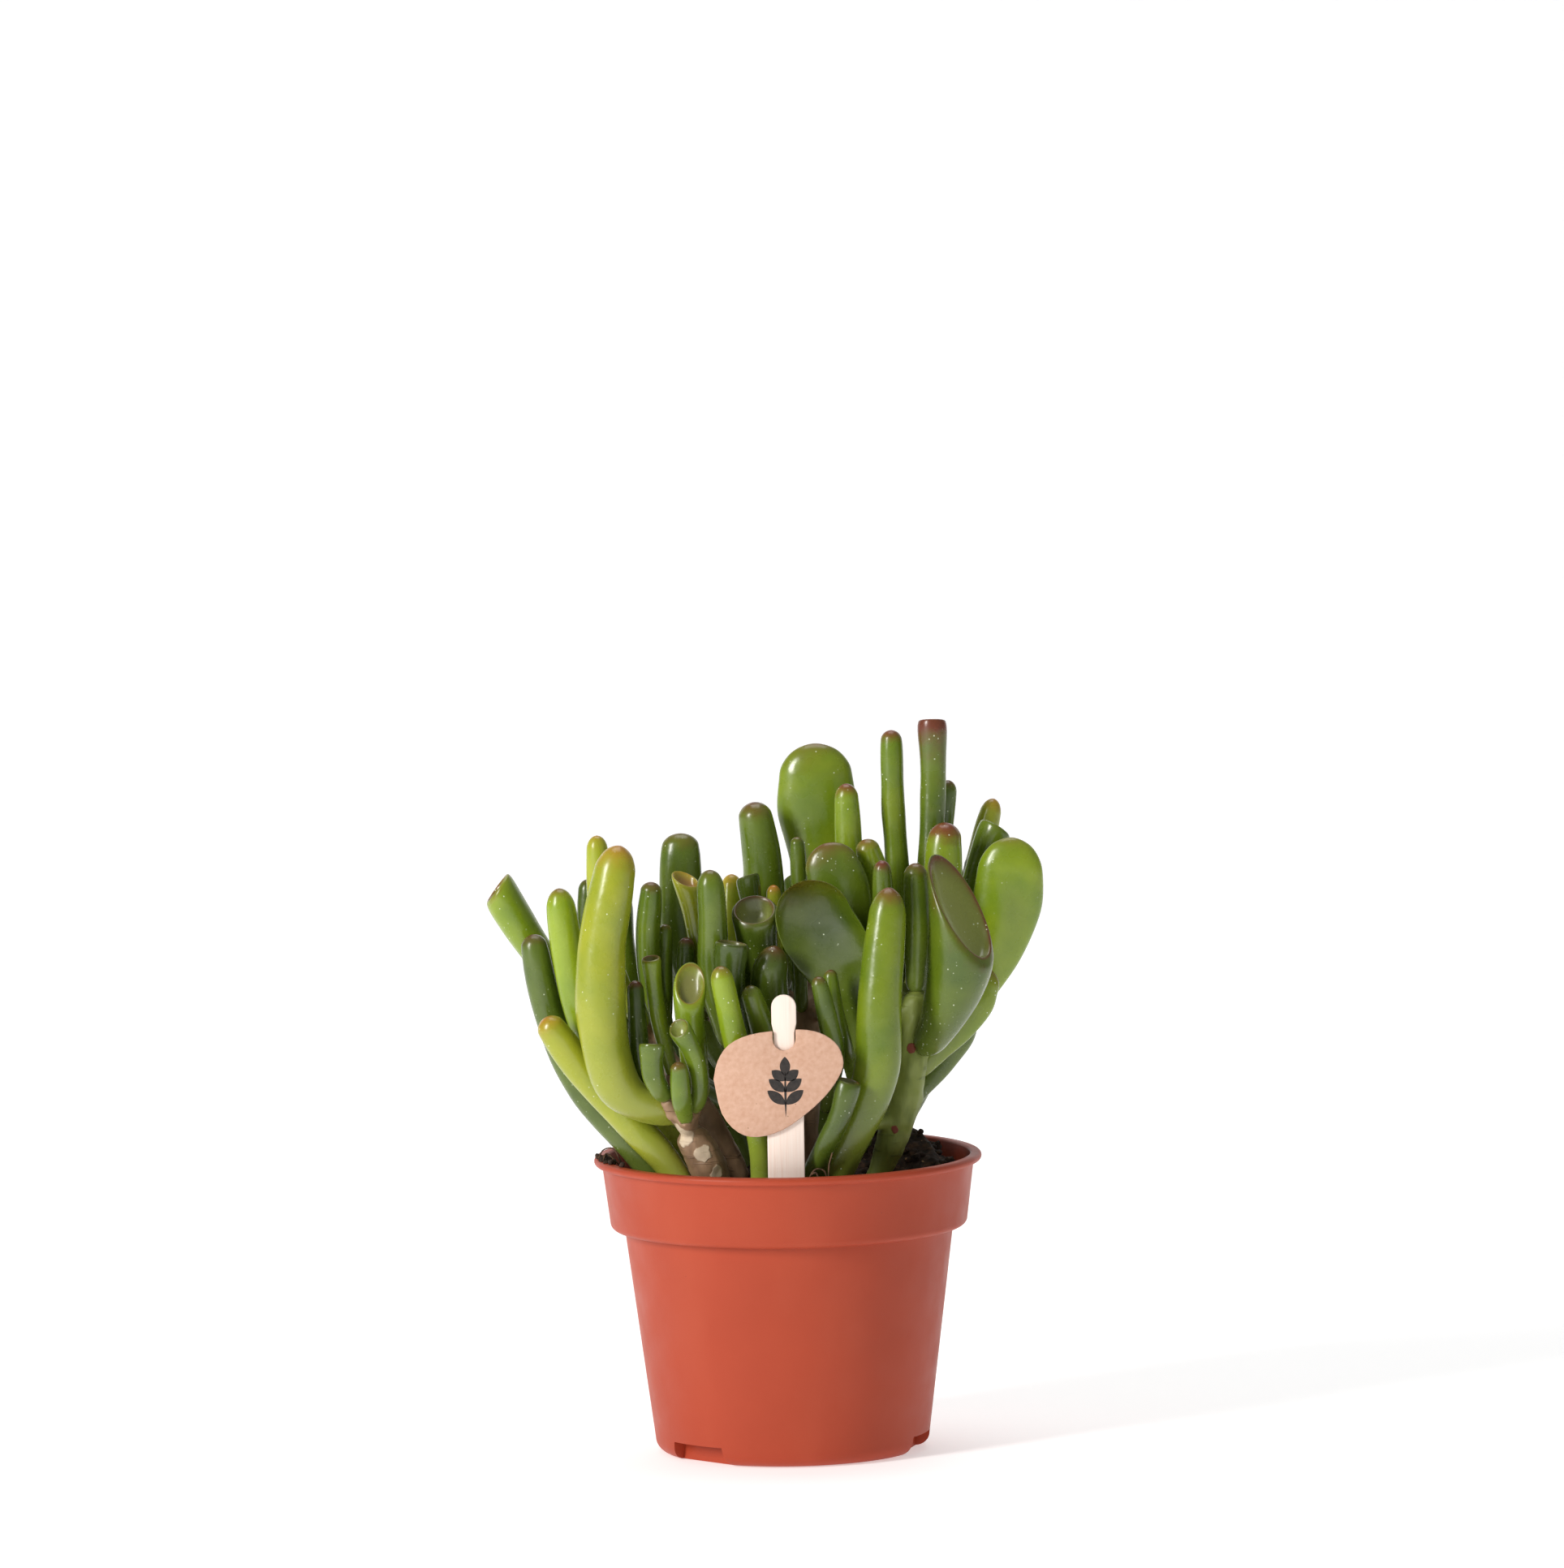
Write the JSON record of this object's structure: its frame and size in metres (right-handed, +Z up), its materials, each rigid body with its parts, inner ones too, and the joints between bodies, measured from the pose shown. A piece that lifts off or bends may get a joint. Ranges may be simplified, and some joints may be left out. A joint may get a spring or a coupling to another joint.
{
  "type": "potted jade plant",
  "caption": "Jade plant of the finger-leaved kind in a terracotta-coloured plastic nursery pot, with dark peat and a wooden pick that holds a small pebble-shaped card.",
  "frame": {"origin": "centre of the pot's underside, on the surface that it stands on", "axes": "+Z up; -Y towards the side with the label, which is the front; +X to the right as seen from the front"},
  "size_m": [0.1719, 0.12, 0.2252],
  "materials": {
    "pot_plastic": "satin moulded polypropylene, terracotta red",
    "peat": "loose dark peat with crumbs and fibres",
    "pick_wood": "bare pale birch, fine straight grain",
    "card": "uncoated kraft board with a plain leaf sprig",
    "bark": "smooth brown succulent bark with pale leaf scars",
    "green_stem": "young green bark with red-brown leaf scars",
    "bright_leaf": "glossy yellow-green skin with an orange tip",
    "green_leaf": "glossy mid-green skin, red rim, fine white specks",
    "dark_leaf": "glossy dark green skin, brown-red rim, fine white specks"
  },
  "bodies": {
    "root": {"pot": "pot_plastic", "soil": "peat", "label_pick": "pick_wood", "label_card": "card", "front_left_stem": "bark", "left_branch": "bark", "centre_branch": "bark", "middle_branch": "bark", "right_branch": "green_stem", "right_back_branch": "green_stem", "left_leaf_1": "green_leaf", "left_leaf_2": "dark_leaf", "left_leaf_3": "bright_leaf", "left_leaf_4": "bright_leaf", "left_leaf_5": "bright_leaf", "left_leaf_6": "bright_leaf", "left_leaf_7": "green_leaf", "left_leaf_8": "green_leaf", "left_leaf_9": "bright_leaf", "left_leaf_10": "green_leaf", "left_leaf_11": "bright_leaf", "left_leaf_12": "dark_leaf", "left_leaf_13": "green_leaf", "left_leaf_14": "green_leaf", "left_leaf_15": "green_leaf", "centre_leaf_1": "bright_leaf", "centre_leaf_2": "green_leaf", "centre_leaf_3": "dark_leaf", "centre_leaf_4": "dark_leaf", "centre_leaf_5": "dark_leaf", "centre_leaf_6": "dark_leaf", "centre_leaf_7": "green_leaf", "centre_leaf_8": "green_leaf", "centre_leaf_9": "green_leaf", "centre_leaf_10": "green_leaf", "centre_leaf_11": "green_leaf", "right_leaf_1": "bright_leaf", "right_leaf_2": "green_leaf", "right_leaf_3": "green_leaf", "right_leaf_4": "green_leaf", "right_leaf_5": "green_leaf", "right_leaf_6": "green_leaf", "right_leaf_7": "green_leaf", "right_leaf_8": "green_leaf", "right_leaf_9": "green_leaf", "right_leaf_10": "green_leaf", "right_leaf_11": "green_leaf", "right_leaf_12": "green_leaf", "right_leaf_13": "bright_leaf", "right_leaf_14": "green_leaf", "right_leaf_15": "dark_leaf", "right_leaf_16": "dark_leaf", "back_leaf_1": "green_leaf", "back_leaf_2": "dark_leaf", "back_leaf_3": "green_leaf", "back_leaf_4": "green_leaf", "back_leaf_5": "dark_leaf", "back_leaf_6": "green_leaf", "back_leaf_7": "bright_leaf", "back_leaf_8": "dark_leaf"}
  },
  "joints": []
}
